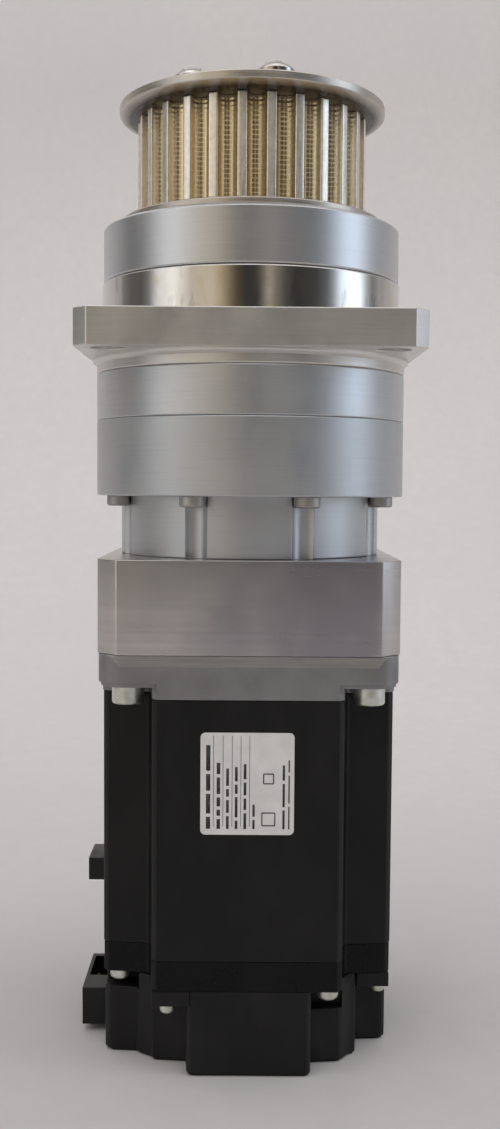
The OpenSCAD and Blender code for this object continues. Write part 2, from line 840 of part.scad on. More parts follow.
module connector_pins() color(nickel) {
    for (i = [0 : 3]) translate([-44.6, -5.1 + 3.1 * i, -157.2]) cube([5, 0.9, 0.9]);
    for (i = [0 : 4]) for (j = [0, 1])
        translate([-45.5 + 3.2 * j, -0.8 + 2.6 * i, socket_floor]) cube([0.8, 0.8, 4]);
}

flange_housing();
register_sleeve();
spacer_ring();
gear_housing();
ring_gear();
housing_screws();
output_bearing_outer();
output_bearing_inner();
output_bearing_cage();
output_bearing_balls();
output_seal();
input_bearing_outer();
input_bearing_inner();
input_bearing_cage();
input_bearing_balls();
input_seal();
adapter_plate();
adapter_screws();
access_plug();
planet_carrier();
planet_pins();
planet_1();
planet_2();
planet_3();
planet_4();
needles_1();
needles_2();
needles_3();
needles_4();
bearing_nut();
drive_hub();
hub_screws();
belt_pulley();
pulley_top_disc();
pulley_low_disc();
pulley_screws();
input_shaft();
clamp_collar();
clamp_screw();
motor_flange();
motor_bolts();
motor_seal();
stator_frame();
stator_core();
stator_windings();
motor_shaft();
rotor_core();
rotor_magnets();
motor_bearing_outer();
motor_bearing_inner();
motor_bearing_balls();
rear_bracket();
bracket_screws();
encoder_disc();
encoder_board();
board_screws();
encoder_cover();
cover_screws();
connectors();
connector_pins();
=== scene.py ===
import json
import math

import bmesh
import bpy
from mathutils import Euler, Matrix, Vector


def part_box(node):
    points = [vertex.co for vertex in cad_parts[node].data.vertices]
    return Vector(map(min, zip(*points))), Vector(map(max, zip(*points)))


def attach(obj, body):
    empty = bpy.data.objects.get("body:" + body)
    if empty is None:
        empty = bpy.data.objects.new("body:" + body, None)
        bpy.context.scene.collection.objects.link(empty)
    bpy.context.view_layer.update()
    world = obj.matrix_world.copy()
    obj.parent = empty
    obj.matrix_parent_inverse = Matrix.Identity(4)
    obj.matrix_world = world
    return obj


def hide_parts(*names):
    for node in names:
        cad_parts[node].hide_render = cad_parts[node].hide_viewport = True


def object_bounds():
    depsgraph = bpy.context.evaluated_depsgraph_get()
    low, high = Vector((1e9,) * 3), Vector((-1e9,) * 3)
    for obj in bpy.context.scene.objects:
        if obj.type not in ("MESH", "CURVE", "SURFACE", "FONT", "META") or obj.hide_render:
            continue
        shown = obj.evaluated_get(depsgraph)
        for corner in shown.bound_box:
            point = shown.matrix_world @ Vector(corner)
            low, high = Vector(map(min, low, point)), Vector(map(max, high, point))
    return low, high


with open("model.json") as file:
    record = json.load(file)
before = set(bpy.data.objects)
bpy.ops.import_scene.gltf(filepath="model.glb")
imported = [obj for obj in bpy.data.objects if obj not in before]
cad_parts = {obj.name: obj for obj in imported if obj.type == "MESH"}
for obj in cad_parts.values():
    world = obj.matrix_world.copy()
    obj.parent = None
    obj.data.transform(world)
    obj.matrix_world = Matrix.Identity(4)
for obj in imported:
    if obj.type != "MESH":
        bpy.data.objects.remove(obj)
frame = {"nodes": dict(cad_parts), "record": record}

cad_low, cad_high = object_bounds()

MM = 0.001
SCENE = bpy.context.scene
BODY_OF = {node: body for body, nodes in frame["record"]["behaviour"]["bodies"].items()
           for node in nodes}

# the camera that the photo was taken with, in the part's own frame
LENS, SENSOR_HEIGHT = 39.583, 36           # millimetres
CAMERA_AT = (-0.345, -362.113, -45.037)    # millimetres
CAMERA_TURN = (86.3449, -0.3934, -0.0652)  # degrees
CLIP_START, CLIP_END = 0.01, 20            # metres

# width of the rounded edges of each piece that can be seen, in millimetres
EDGE_WIDTHS = {"flange_housing": 0.3, "register_sleeve": 0.05, "spacer_ring": 0.12,
               "gear_housing": 0.15, "housing_screws": 0.15, "adapter_plate": 0.3,
               "access_plug": 0.25, "drive_hub": 0.08, "pulley_top_disc": 0.12,
               "pulley_low_disc": 0.12, "pulley_screws": 0.12, "motor_flange": 0.3,
               "motor_bolts": 0.15, "stator_frame": 0.35, "rear_bracket": 0.3,
               "bracket_screws": 0.12, "encoder_cover": 0.4, "cover_screws": 0.1,
               "connectors": 0.25, "connector_pins": 0.1}
PULLEY_EDGE = 0.36
EDGE_ANGLE = 32      # degrees; flatter edges stay as they are
MOST_OF_FACE = 0.42  # part of a face's depth that one rounded edge may take
LEAST_SHARE = 0.15   # edges that would be rounded less than this part of the width stay sharp


# ---------- node helpers ----------

def shader(name, colour, roughness, metallic=0.0, **sockets):
    """A new material with its constants on the shader's own sockets."""
    material = bpy.data.materials.new(name)
    material.use_nodes = True
    principled = material.node_tree.nodes["Principled BSDF"]
    principled.inputs["Base Color"].default_value = (*colour, 1)
    principled.inputs["Roughness"].default_value = roughness
    principled.inputs["Metallic"].default_value = metallic
    for socket, value in sockets.items():
        principled.inputs[socket.replace("_", " ")].default_value = value
    return material


def place(material, stretch=(1, 1, 1)):
    """Object coordinates, scaled per axis."""
    tree = material.node_tree
    coords = tree.nodes.new("ShaderNodeTexCoord")
    mapping = tree.nodes.new("ShaderNodeMapping")
    mapping.inputs["Scale"].default_value = stretch
    tree.links.new(coords.outputs["Object"], mapping.inputs["Vector"])
    return mapping.outputs["Vector"]


def noise(material, size, detail=3.0, stretch=(1, 1, 1), distortion=0.0):
    """Noise with features of the given size in metres, drawn out where stretch is small."""
    node = material.node_tree.nodes.new("ShaderNodeTexNoise")
    node.inputs["Scale"].default_value = 1 / size
    node.inputs["Detail"].default_value = detail
    node.inputs["Distortion"].default_value = distortion
    material.node_tree.links.new(place(material, stretch), node.inputs["Vector"])
    return node.outputs["Fac"]


def cells(material, size):
    """Cell distances, for cast grain and board traces."""
    node = material.node_tree.nodes.new("ShaderNodeTexVoronoi")
    node.inputs["Scale"].default_value = 1 / size
    material.node_tree.links.new(place(material), node.inputs["Vector"])
    return node.outputs["Distance"]


def calc(owner, operation, a, b=None):
    """One sum on numbers or sockets; the owner is a material or the world."""
    node = owner.node_tree.nodes.new("ShaderNodeMath")
    node.operation = operation
    for socket, value in zip(node.inputs, (a, b)):
        if isinstance(value, (int, float)):
            socket.default_value = value
        elif value is not None:
            owner.node_tree.links.new(value, socket)
    return node.outputs[0]


def remap(owner, value, low, high, to_low, to_high):
    """The value's range low to high, carried over to another range and held at its ends."""
    node = owner.node_tree.nodes.new("ShaderNodeMapRange")
    for socket, number in zip(("From Min", "From Max", "To Min", "To Max"),
                              (low, high, to_low, to_high)):
        node.inputs[socket].default_value = number
    owner.node_tree.links.new(value, node.inputs["Value"])
    return node.outputs["Result"]


def blend(owner, factor, colour_a, colour_b):
    """Colour a where factor is 0, colour b where it is 1."""
    node = owner.node_tree.nodes.new("ShaderNodeMix")
    node.data_type = "RGBA"
    owner.node_tree.links.new(factor, node.inputs["Factor"])
    for socket, colour in ((node.inputs["A"], colour_a), (node.inputs["B"], colour_b)):
        if isinstance(colour, tuple):
            socket.default_value = (*colour, 1)
        else:
            owner.node_tree.links.new(colour, socket)
    return node.outputs["Result"]


def fade(material, value, low, high, colour_a, colour_b, most=1):
    """Colour a up to the low value, then more and more of colour b, at most the given part."""
    return blend(material, remap(material, value, low, high, 0, most), colour_a, colour_b)


def position(material):
    """The three coordinates of the point being shaded, on the part itself."""
    tree = material.node_tree
    coords = tree.nodes.new("ShaderNodeSeparateXYZ")
    tree.links.new(place(material), coords.inputs["Vector"])
    return [coords.outputs[axis] for axis in "XYZ"]


def spread(material):
    """Distance from the drive axis, and height, of the point being shaded."""
    across, along, height = position(material)
    square = calc(material, "ADD", calc(material, "MULTIPLY", across, across),
                  calc(material, "MULTIPLY", along, along))
    return calc(material, "SQRT", square), height


def set_colour(material, colour):
    principled = material.node_tree.nodes["Principled BSDF"]
    material.node_tree.links.new(colour, principled.inputs["Base Color"])


def set_roughness(material, value):
    principled = material.node_tree.nodes["Principled BSDF"]
    material.node_tree.links.new(value, principled.inputs["Roughness"])


def set_bump(material, *layers):
    """Layers of (height, strength, distance in metres), fed one into the next."""
    tree = material.node_tree
    last = None
    for height, strength, distance in layers:
        node = tree.nodes.new("ShaderNodeBump")
        node.inputs["Strength"].default_value = strength
        node.inputs["Distance"].default_value = distance
        tree.links.new(height, node.inputs["Height"])
        if last:
            tree.links.new(last, node.inputs["Normal"])
        last = node.outputs["Normal"]
    tree.links.new(last, tree.nodes["Principled BSDF"].inputs["Normal"])


# ---------- materials ----------

def satin_metal(name, colour, warm, roughness, grain=0.35 * MM, marks=1.0):
    """Fine-turned aluminium under a matt anodised layer: thin turning lines, cloudy tint."""
    material = shader(name, colour, roughness, 1.0)
    cloud = noise(material, 14 * MM, 4.0, (1, 1, 0.6))
    turned = noise(material, grain, 2.0, (0.02, 0.02, 1.6))
    speck = noise(material, 0.18 * MM, 2.0)
    darker = tuple(c * 0.86 for c in colour)
    clouded = fade(material, cloud, 0.35, 0.7, colour, warm)
    set_colour(material, fade(material, turned, 0.5, 0.78, clouded, darker, 0.55))
    wear = remap(material, cloud, 0.3, 0.7, -0.04 * marks, 0.05 * marks)
    matt = remap(material, speck, 0.3, 0.7, roughness - 0.05, roughness + 0.06)
    set_roughness(material, calc(material, "ADD", wear, matt))
    set_bump(material, (turned, 0.22, 0.01 * marks * MM), (speck, 0.3, 0.008 * marks * MM))
    return material


def flange_metal():
    return satin_metal("flange_metal", (0.70, 0.68, 0.655), (0.75, 0.72, 0.68), 0.38)


def ring_metal():
    return satin_metal("ring_metal", (0.595, 0.612, 0.635), (0.64, 0.638, 0.632), 0.385)


def gear_housing():
    """The gear housing is darker than the other rings: partly its own anodised tone, partly painted
    shade from the adapter plate.
    """
    return satin_metal("gear_housing", (0.525, 0.543, 0.562), (0.565, 0.568, 0.563), 0.42)


def hub_metal():
    return satin_metal("hub_metal", (0.65, 0.665, 0.69), (0.69, 0.685, 0.685), 0.34, marks=0.35)


def housing_screws():
    """Dull grey screws, coated with the housing."""
    return satin_metal("housing_screws", (0.46, 0.45, 0.44), (0.38, 0.37, 0.36), 0.46, 0.2 * MM)


def register_steel():
    """Ground and polished steel with dried oil, rub marks and grinding lines."""
    material = shader("register_steel", (0.74, 0.71, 0.68), 0.1, 1.0)
    stain = noise(material, 7 * MM, 5.0, (1, 1, 0.5), 0.8)
    drip = noise(material, 3.2 * MM, 3.0, (1, 1, 0.3), 0.4)
    lines = noise(material, 0.25 * MM, 2.0, (0.015, 0.015, 1.5))
    oiled = fade(material, stain, 0.48, 0.68, (0.77, 0.75, 0.73), (0.70, 0.64, 0.52), 0.8)
    set_colour(material, fade(material, drip, 0.62, 0.74, oiled, (0.46, 0.41, 0.37), 0.6))
    set_roughness(material, calc(material, "ADD", remap(material, stain, 0.4, 0.75, 0.05, 0.17),
                                 remap(material, lines, 0.3, 0.7, 0, 0.04)))
    set_bump(material, (lines, 0.12, 0.004 * MM), (stain, 0.12, 0.06 * MM))
    return material


def gear_steel():
    """Ground steel under a thin film of oil."""
    material = shader("gear_steel", (0.5, 0.5, 0.49), 0.3, 1.0)
    oil = noise(material, 6 * MM, 4.0)
    ground = noise(material, 0.2 * MM, 2.0, (1, 1, 0.05))
    set_colour(material, fade(material, oil, 0.4, 0.7, (0.52, 0.52, 0.51), (0.42, 0.40, 0.36)))
    set_roughness(material, remap(material, oil, 0.3, 0.7, 0.2, 0.38))
    set_bump(material, (ground, 0.25, 0.008 * MM))
    return material


def bearing_steel():
    """Polished bearing steel with fine turning lines."""
    material = shader("bearing_steel", (0.68, 0.68, 0.68), 0.14, 1.0)
    film = noise(material, 5 * MM, 3.0)
    lines = noise(material, 0.2 * MM, 2.0, (0.03, 0.03, 1.4))
    set_colour(material, fade(material, film, 0.4, 0.7, (0.7, 0.7, 0.7), (0.6, 0.59, 0.56)))
    set_roughness(material, remap(material, lines, 0.3, 0.7, 0.1, 0.2))
    set_bump(material, (lines, 0.15, 0.004 * MM))
    return material


def cage_brass():
    material = shader("cage_brass", (0.72, 0.52, 0.22), 0.3, 1.0)
    tarnish = noise(material, 3 * MM, 4.0)
    set_colour(material, fade(material, tarnish, 0.4, 0.7, (0.74, 0.55, 0.25),
                              (0.55, 0.36, 0.14)))
    set_roughness(material, remap(material, tarnish, 0.3, 0.7, 0.24, 0.42))
    set_bump(material, (noise(material, 0.3 * MM, 2.0), 0.3, 0.01 * MM))
    return material


def bright_screws():
    """Zinc plate with a faint green-yellow tint and small handling marks."""
    material = shader("bright_screws", (0.74, 0.75, 0.70), 0.28, 1.0)
    cloud = noise(material, 2.5 * MM, 4.0)
    speck = noise(material, 0.12 * MM, 3.0)
    set_colour(material, fade(material, cloud, 0.38, 0.68, (0.76, 0.77, 0.73),
                              (0.60, 0.62, 0.52)))
    set_roughness(material, remap(material, cloud, 0.3, 0.7, 0.34, 0.48))
    set_bump(material, (speck, 0.3, 0.006 * MM))
    return material


def pulley_screws():
    """Polished screw heads with a brownish cast and fine rub marks."""
    material = shader("pulley_screws", (0.66, 0.63, 0.61), 0.12, 1.0)
    cloud = noise(material, 2 * MM, 4.0)
    rub = noise(material, 0.2 * MM, 2.0, (1, 0.2, 1))
    set_colour(material, fade(material, cloud, 0.4, 0.7, (0.70, 0.68, 0.66), (0.50, 0.44, 0.40)))
    set_roughness(material, remap(material, rub, 0.3, 0.7, 0.08, 0.2))
    set_bump(material, (rub, 0.2, 0.005 * MM))
    return material


def black_screws():
    """Black oxide, rubbed lighter in patches."""
    material = shader("black_screws", (0.05, 0.05, 0.052), 0.38, 0.7)
    rub = noise(material, 2 * MM, 4.0)
    set_colour(material, fade(material, rub, 0.5, 0.75, (0.045, 0.045, 0.047),
                              (0.13, 0.125, 0.12)))
    set_roughness(material, remap(material, rub, 0.3, 0.7, 0.3, 0.5))
    set_bump(material, (noise(material, 0.15 * MM, 2.0), 0.3, 0.01 * MM))
    return material


def seal_rubber():
    """Dark rubber with a grey bloom."""
    material = shader("seal_rubber", (0.022, 0.022, 0.022), 0.6)
    bloom = noise(material, 4 * MM, 4.0)
    set_colour(material, fade(material, bloom, 0.45, 0.75, (0.02, 0.02, 0.02),
                              (0.05, 0.05, 0.048)))
    set_roughness(material, remap(material, bloom, 0.3, 0.7, 0.5, 0.75))
    set_bump(material, (noise(material, 0.25 * MM, 3.0), 0.4, 0.02 * MM))
    return material


def plate_metal():
    """Milled aluminium: level cutter streaks, warm milled colour on the left, with painted shade
    turning it violet grey to the right.
    """
    material = shader("plate_metal", (0.70, 0.66, 0.64), 0.27, 1.0)
    streak = noise(material, 1.6 * MM, 2.0, (0.012, 0.012, 1.0))
    fine = noise(material, 0.9 * MM, 1.0, (0.006, 0.006, 1.0))
    cloud = noise(material, 13 * MM, 1.5, (1, 1, 0.8))
    smudge = noise(material, 6 * MM, 1.0, (0.4, 0.4, 1.2))
    across, _, _ = position(material)
    # painted shade growing towards the right of the front, plus random cloudy tone
    shade_and_cloud = calc(material, "ADD", remap(material, across, -24 * MM, 16 * MM, 0, 1),
                remap(material, cloud, 0.3, 0.7, -0.25, 0.25))
    # the painted shade is held back on the rounded right corner
    off_corner = remap(material, across, 33 * MM, 37 * MM, 1, 0.2)
    shade_and_cloud = calc(material, "MULTIPLY", shade_and_cloud, off_corner)
    shade_and_cloud = calc(material, "MAXIMUM", calc(material, "MINIMUM", shade_and_cloud, 1), 0)
    milled = fade(material, streak, 0.3, 0.72, (0.645, 0.605, 0.575), (0.605, 0.57, 0.545))
    # the milled colour, darkened by the painted shade
    milled_and_shaded = blend(material, shade_and_cloud, milled, (0.35, 0.342, 0.37))
    set_colour(material, fade(material, smudge, 0.5, 0.8, milled_and_shaded, (0.385, 0.365, 0.355), 0.3))
    set_roughness(material, calc(material, "ADD", remap(material, streak, 0.3, 0.7, 0.22, 0.26),
                                 remap(material, smudge, 0.4, 0.7, 0, 0.03)))
    set_bump(material, (fine, 0.12, 0.004 * MM))
    return material


def pulley_metal():
    """Champagne nickel finish, darker and more olive down in the tooth gaps."""
    material = shader("pulley_metal", (0.80, 0.75, 0.64), 0.22, 1.0)
    gap_floor, gap_mouth = 29.0 * MM, 32.2 * MM
    radius, _ = spread(material)
    gap = remap(material, radius, gap_floor, gap_mouth, 1, 0)
    mottle = noise(material, 1.6 * MM, 4.0)
    drawn = noise(material, 0.25 * MM, 2.0, (1, 1, 0.06))
    land = fade(material, mottle, 0.4, 0.7, (0.96, 0.92, 0.83), (0.84, 0.78, 0.66))
    set_colour(material, blend(material, gap, land, (0.74, 0.61, 0.38)))
    set_roughness(material, calc(material, "SUBTRACT", remap(material, drawn, 0.3, 0.7, 0.30, 0.42),
                                 calc(material, "MULTIPLY", gap, 0.12)))
    set_bump(material, (drawn, 0.2, 0.006 * MM), (mottle, 0.15, 0.02 * MM))
    return material


def pulley_disc_metal():
    """Brushed discs, with painted shade on the upper disc's underside, darkest where it meets the
    teeth.
    """
    material = shader("pulley_disc_metal", (0.60, 0.57, 0.52), 0.3, 1.0)
    # radii over which the painted shade under the upper disc fades out
    teeth_edge, shade_ends = 34.5 * MM, 37.8 * MM
    radius, height = spread(material)
    cloud = noise(material, 7 * MM, 4.0)
    speck = noise(material, 0.2 * MM, 3.0)
    turned = noise(material, 0.3 * MM, 2.0, (0.03, 0.03, 1.5))
    disc_tone = fade(material, cloud, 0.35, 0.7, (0.66, 0.615, 0.56), (0.55, 0.50, 0.445))
    lower_face = remap(material, height, 59.0 * MM, 59.4 * MM, 1, 0)
    upper_disc = remap(material, height, 50 * MM, 52 * MM, 0, 1)
    under = calc(material, "MULTIPLY", lower_face, upper_disc)
    # painted shade: near-black brown on the upper disc's underside, darkest at the teeth
    painted_shade = calc(material, "MULTIPLY", under, remap(material, radius, teeth_edge, shade_ends, 1, 0))
    set_colour(material, blend(material, painted_shade, disc_tone, (0.045, 0.034, 0.028)))
    set_roughness(material, remap(material, turned, 0.3, 0.7, 0.26, 0.4))
    set_bump(material, (speck, 0.3, 0.01 * MM), (turned, 0.2, 0.01 * MM))
    return material


def cast_metal():
    """Die cast, grey-coated motor flange, bare and brighter on its machined upper band."""
    material = shader("cast_metal", (0.33, 0.325, 0.33), 0.42, 0.85)
    band_low, band_soft = -92.7 * MM, -92.5 * MM
    corner_rise, corner_low, corner_high = 0.41, 90.35 * MM, 90.6 * MM
    radius, height = spread(material)
    cloud = noise(material, 9 * MM, 4.0)
    grain = cells(material, 0.45 * MM)
    cut = noise(material, 0.35 * MM, 2.0, (0.03, 0.03, 1.4))
    coated = fade(material, cloud, 0.35, 0.7, (0.31, 0.305, 0.315), (0.25, 0.245, 0.25))
    bare = fade(material, cut, 0.35, 0.7, (0.385, 0.378, 0.370), (0.31, 0.303, 0.30))
    # the cutter only reached the flat sides, so its band runs out up the round corners
    corner = calc(material, "SUBTRACT", radius, calc(material, "MULTIPLY", height, corner_rise))
    machined = calc(material, "MULTIPLY", remap(material, height, band_low, band_soft, 0, 1),
                    remap(material, corner, corner_low, corner_high, 1, 0))
    set_colour(material, blend(material, machined, coated, bare))
    set_roughness(material, remap(material, grain, 0.0, 0.6, 0.36, 0.50))
    set_bump(material, (grain, 0.2, 0.02 * MM), (cloud, 0.1, 0.08 * MM))
    return material


def black_coat(name, colour, roughness, grain, bump, specular):
    """Black finish with orange-peel grain, faint dust and rubbed patches."""
    material = shader(name, colour, roughness, 0.0, Specular_IOR_Level=specular)
    peel = noise(material, grain, 3.0)
    dust = noise(material, 11 * MM, 5.0, (1, 1, 0.5))
    lighter = tuple(c * 1.7 + 0.002 for c in colour)
    set_colour(material, fade(material, dust, 0.42, 0.75, colour, lighter))
    dulled = remap(material, dust, 0.3, 0.7, -0.07, 0.07)
    grained = remap(material, peel, 0.3, 0.7, roughness - 0.03, roughness + 0.04)
    set_roughness(material, calc(material, "ADD", dulled, grained))
    set_bump(material, (peel, 0.35, bump))
    return material


def body_black():
    return black_coat("body_black", (0.006, 0.0057, 0.0058), 0.40, 0.5 * MM, 0.014 * MM, 0.25)


def bracket_black():
    return black_coat("bracket_black", (0.0038, 0.0038, 0.004), 0.30, 0.8 * MM, 0.002 * MM, 0.16)


def cover_plastic():
    return black_coat("cover_plastic", (0.0075, 0.007, 0.0072), 0.44, 0.3 * MM, 0.014 * MM, 0.26)


def socket_plastic():
    return black_coat("socket_plastic", (0.008, 0.008, 0.0082), 0.36, 0.4 * MM, 0.010 * MM, 0.3)


def core_steel():
    """Stacked sheets, seen as level lines."""
    material = shader("core_steel", (0.3, 0.3, 0.3), 0.42, 1.0)
    sheets = noise(material, 0.5 * MM, 1.0, (0.01, 0.01, 1.0))
    set_colour(material, fade(material, sheets, 0.35, 0.65, (0.34, 0.34, 0.34),
                              (0.14, 0.14, 0.15)))
    set_roughness(material, remap(material, sheets, 0.3, 0.7, 0.35, 0.5))
    set_bump(material, (sheets, 0.6, 0.05 * MM))
    return material


def copper():
    """Wound wire, seen as upright strands."""
    material = shader("copper", (0.7, 0.33, 0.13), 0.3, 1.0)
    strands = noise(material, 0.45 * MM, 1.0, (1, 1, 0.02))
    set_colour(material, fade(material, strands, 0.35, 0.65, (0.74, 0.38, 0.16),
                              (0.42, 0.16, 0.05)))
    set_roughness(material, remap(material, strands, 0.3, 0.7, 0.22, 0.4))
    set_bump(material, (strands, 0.8, 0.12 * MM))
    return material


def magnet():
    material = shader("magnet", (0.5, 0.5, 0.48), 0.25, 1.0)
    plate = noise(material, 3 * MM, 4.0)
    set_colour(material, fade(material, plate, 0.35, 0.7, (0.54, 0.54, 0.52), (0.40, 0.39, 0.36)))
    set_roughness(material, remap(material, plate, 0.3, 0.7, 0.18, 0.34))
    set_bump(material, (noise(material, 0.2 * MM, 2.0), 0.2, 0.01 * MM))
    return material


def disc_glass():
    material = shader("disc_glass", (0.75, 0.8, 0.8), 0.08, 0.0, Transmission_Weight=0.6)
    etch = noise(material, 0.6 * MM, 2.0)
    set_colour(material, fade(material, etch, 0.4, 0.6, (0.8, 0.85, 0.85), (0.5, 0.54, 0.55)))
    set_roughness(material, remap(material, etch, 0.3, 0.7, 0.04, 0.25))
    set_bump(material, (etch, 0.2, 0.01 * MM))
    return material


def board():
    """Green lacquer over copper traces and glass weave."""
    material = shader("board", (0.02, 0.16, 0.07), 0.3)
    traces = cells(material, 2.2 * MM)
    weave = noise(material, 0.4 * MM, 2.0)
    set_colour(material, fade(material, traces, 0.25, 0.3, (0.03, 0.24, 0.10),
                              (0.012, 0.12, 0.05)))
    set_roughness(material, remap(material, weave, 0.3, 0.7, 0.24, 0.4))
    set_bump(material, (traces, 0.3, 0.03 * MM), (weave, 0.3, 0.015 * MM))
    return material


def pin_metal():
    material = shader("pin_metal", (0.8, 0.6, 0.27), 0.25, 1.0)
    worn = noise(material, 0.8 * MM, 3.0)
    set_colour(material, fade(material, worn, 0.4, 0.7, (0.83, 0.64, 0.3), (0.66, 0.5, 0.26)))
    set_roughness(material, remap(material, worn, 0.3, 0.7, 0.18, 0.34))
    set_bump(material, (worn, 0.2, 0.01 * MM))
    return material


def label_film():
    """Silver polyester film, very slightly rippled where it follows the coat below."""
    material = shader("label_film", (0.84, 0.83, 0.82), 0.36, 0.0)
    ripple = noise(material, 5 * MM, 3.0)
    fleck = noise(material, 0.2 * MM, 2.0)
    set_colour(material, fade(material, ripple, 0.35, 0.7, (0.86, 0.85, 0.84),
                              (0.76, 0.755, 0.75)))
    set_roughness(material, remap(material, fleck, 0.3, 0.7, 0.28, 0.42))
    set_bump(material, (ripple, 0.25, 0.05 * MM), (fleck, 0.2, 0.008 * MM))
    return material


def label_ink():
    material = shader("label_ink", (0.02, 0.02, 0.022), 0.45)
    worn = noise(material, 0.5 * MM, 3.0)
    set_colour(material, fade(material, worn, 0.5, 0.8, (0.018, 0.018, 0.02),
                              (0.12, 0.12, 0.12)))
    set_roughness(material, remap(material, worn, 0.3, 0.7, 0.4, 0.55))
    set_bump(material, (worn, 0.2, 0.004 * MM))
    return material


# finishes named after the CAD's own material slots
SLOT_MAKERS = (flange_metal, ring_metal, hub_metal, register_steel, gear_steel, bearing_steel,
               cage_brass, bright_screws, black_screws, seal_rubber, plate_metal, pulley_metal,
               pulley_disc_metal, cast_metal, body_black, bracket_black, cover_plastic,
               socket_plastic, core_steel, copper, magnet, disc_glass, board, pin_metal)

# finishes for one CAD node, used instead of its slot's finish, and for the two label pieces
OWN_FINISHES = (gear_housing, housing_screws, pulley_screws, label_film, label_ink)


def dress_cad_nodes(materials):
    """Gives every CAD node its finish, and returns the name of each node's slot."""
    slot_of = {}
    for name, node in frame["nodes"].items():
        for holder in node.material_slots:
            slot_of[name] = holder.material.name.split(".")[0]
            holder.material = materials.get(name, materials[slot_of[name]])
    return slot_of


# ---------- pieces ----------

def clean_mesh(node):
    """A copy of a CAD node's mesh with joined corners and whole flat faces."""
    same_point, flat = 0.002 * MM, math.radians(0.4)
    mesh = bmesh.new()
    mesh.from_mesh(frame["nodes"][node].data)
    bmesh.ops.remove_doubles(mesh, verts=mesh.verts, dist=same_point)
    bmesh.ops.dissolve_limit(mesh, angle_limit=flat, verts=mesh.verts, edges=mesh.edges,
                             use_dissolve_boundaries=False)
    return mesh


def add_piece(name, mesh, body, material):
    """A new smooth-shaded piece that rides one body."""
    data = bpy.data.meshes.new(name)
    mesh.to_mesh(data)
    mesh.free()
    piece = bpy.data.objects.new(name, data)
    SCENE.collection.objects.link(piece)
    data.materials.append(material)
    data.shade_smooth()
    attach(piece, body)
    return piece


def reach_inside(face, edge):
    """How far a face reaches inward from one of its edges, squarely to it, where least."""
    loop = next(loop for loop in face.loops if loop.edge == edge)
    start, end = loop.vert.co, loop.link_loop_next.vert.co
    length = (end - start).length
    along = (end - start) / length
    inward = face.normal.cross(along)
    sides = []
    for other in face.edges:
        if not set(other.verts) & set(edge.verts):
            a, b = (vert.co - start for vert in other.verts)
            sides.append((a.dot(along), a.dot(inward), b.dot(along), b.dot(inward)))
    if not sides:
        return max((vert.co - start).cross(along).length for vert in face.verts)
    nearest, touching = 1.0, 0.001 * MM
    for at in (0.1 * length, 0.5 * length, 0.9 * length):
        for ax, ay, bx, by in sides:
            if (ax - at) * (bx - at) < 0:
                reach = ay + (by - ay) * (at - ax) / (bx - ax)
                if reach > touching:
                    nearest = min(nearest, reach)
    return nearest


def mark_edges(mesh, width):
    """Weights the outward edges for rounding, less on narrow faces, and keeps others sharp."""
    weight = mesh.edges.layers.float.get("bevel_weight_edge")
    if weight is None:
        weight = mesh.edges.layers.float.new("bevel_weight_edge")
    for edge in mesh.edges:
        if len(edge.link_faces) != 2 or edge.calc_face_angle(0) < math.radians(EDGE_ANGLE):
            continue
        edge.smooth = False
        if not edge.is_convex:
            continue
        depth = min(reach_inside(face, edge) for face in edge.link_faces)
        share = min(1.0, MOST_OF_FACE * depth / width)
        if share > LEAST_SHARE:
            edge[weight] = share
            edge.smooth = True


def soften(piece, width, segments=2):
    """Rounds the weighted edges of a piece and settles its shading."""
    bevel = piece.modifiers.new("edges", "BEVEL")
    bevel.width = width
    bevel.segments = segments
    bevel.limit_method = "WEIGHT"
    bevel.use_clamp_overlap = False
    bevel.miter_outer = "MITER_ARC"
    bevel.harden_normals = False
    weighted = piece.modifiers.new("normals", "WEIGHTED_NORMAL")
    weighted.keep_sharp = True
    weighted.weight = 80


def refine(node, width, slot_of, materials, shape=None, segments=2):
    """Stands a softened copy in for a CAD node; shape may work on the mesh first."""
    mesh = clean_mesh(node)
    if shape:
        shape(mesh)
    mark_edges(mesh, width)
    slot = slot_of[node]
    own = materials.get(node, materials[slot])
    piece = add_piece(node + "_fine", mesh, BODY_OF[node], own)
    soften(piece, width, segments)
    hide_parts(node)


def cut_feed_marks(mesh):
    """Scallops left by the cutter in the tooth gaps: small even waves up each gap."""
    teeth_low, teeth_top = 30.5 * MM, 57.4 * MM
    floor, land, shoulder = 28.6 * MM, 32.0 * MM, 1.2 * MM
    pitch, depth, margin = 1.25 * MM, 0.08 * MM, 0.01 * MM
    cuts_per_wave = 4
    count = int((teeth_top - teeth_low) / pitch * cuts_per_wave)

    def in_gap(face):
        centre = face.calc_center_median()
        return (abs(face.normal.z) < 0.1 and centre.xy.length > floor
                and teeth_low < centre.z < teeth_top)

    for i in range(1, count):
        height = teeth_low + (teeth_top - teeth_low) * i / count
        faces = [face for face in mesh.faces if in_gap(face)]
        edges = dict.fromkeys(edge for face in faces for edge in face.edges)
        verts = dict.fromkeys(vert for face in faces for vert in face.verts)
        bmesh.ops.bisect_plane(mesh, geom=[*faces, *edges, *verts], plane_co=(0, 0, height),
                               plane_no=(0, 0, 1), dist=0.001 * MM)
    mesh.normal_update()
    moves = []
    for vert in mesh.verts:
        radius = vert.co.xy.length
        between_ends = teeth_low + margin < vert.co.z < teeth_top - margin
        if between_ends and floor < radius < land:
            depth_in = min(1.0, (land - radius) / shoulder)
            wave = 0.5 - 0.5 * math.cos(2 * math.pi * (vert.co.z - teeth_low) / pitch)
            moves.append((vert, vert.normal * depth * wave * depth_in))
    for vert, move in moves:
        vert.co -= Vector((move.x, move.y, 0))


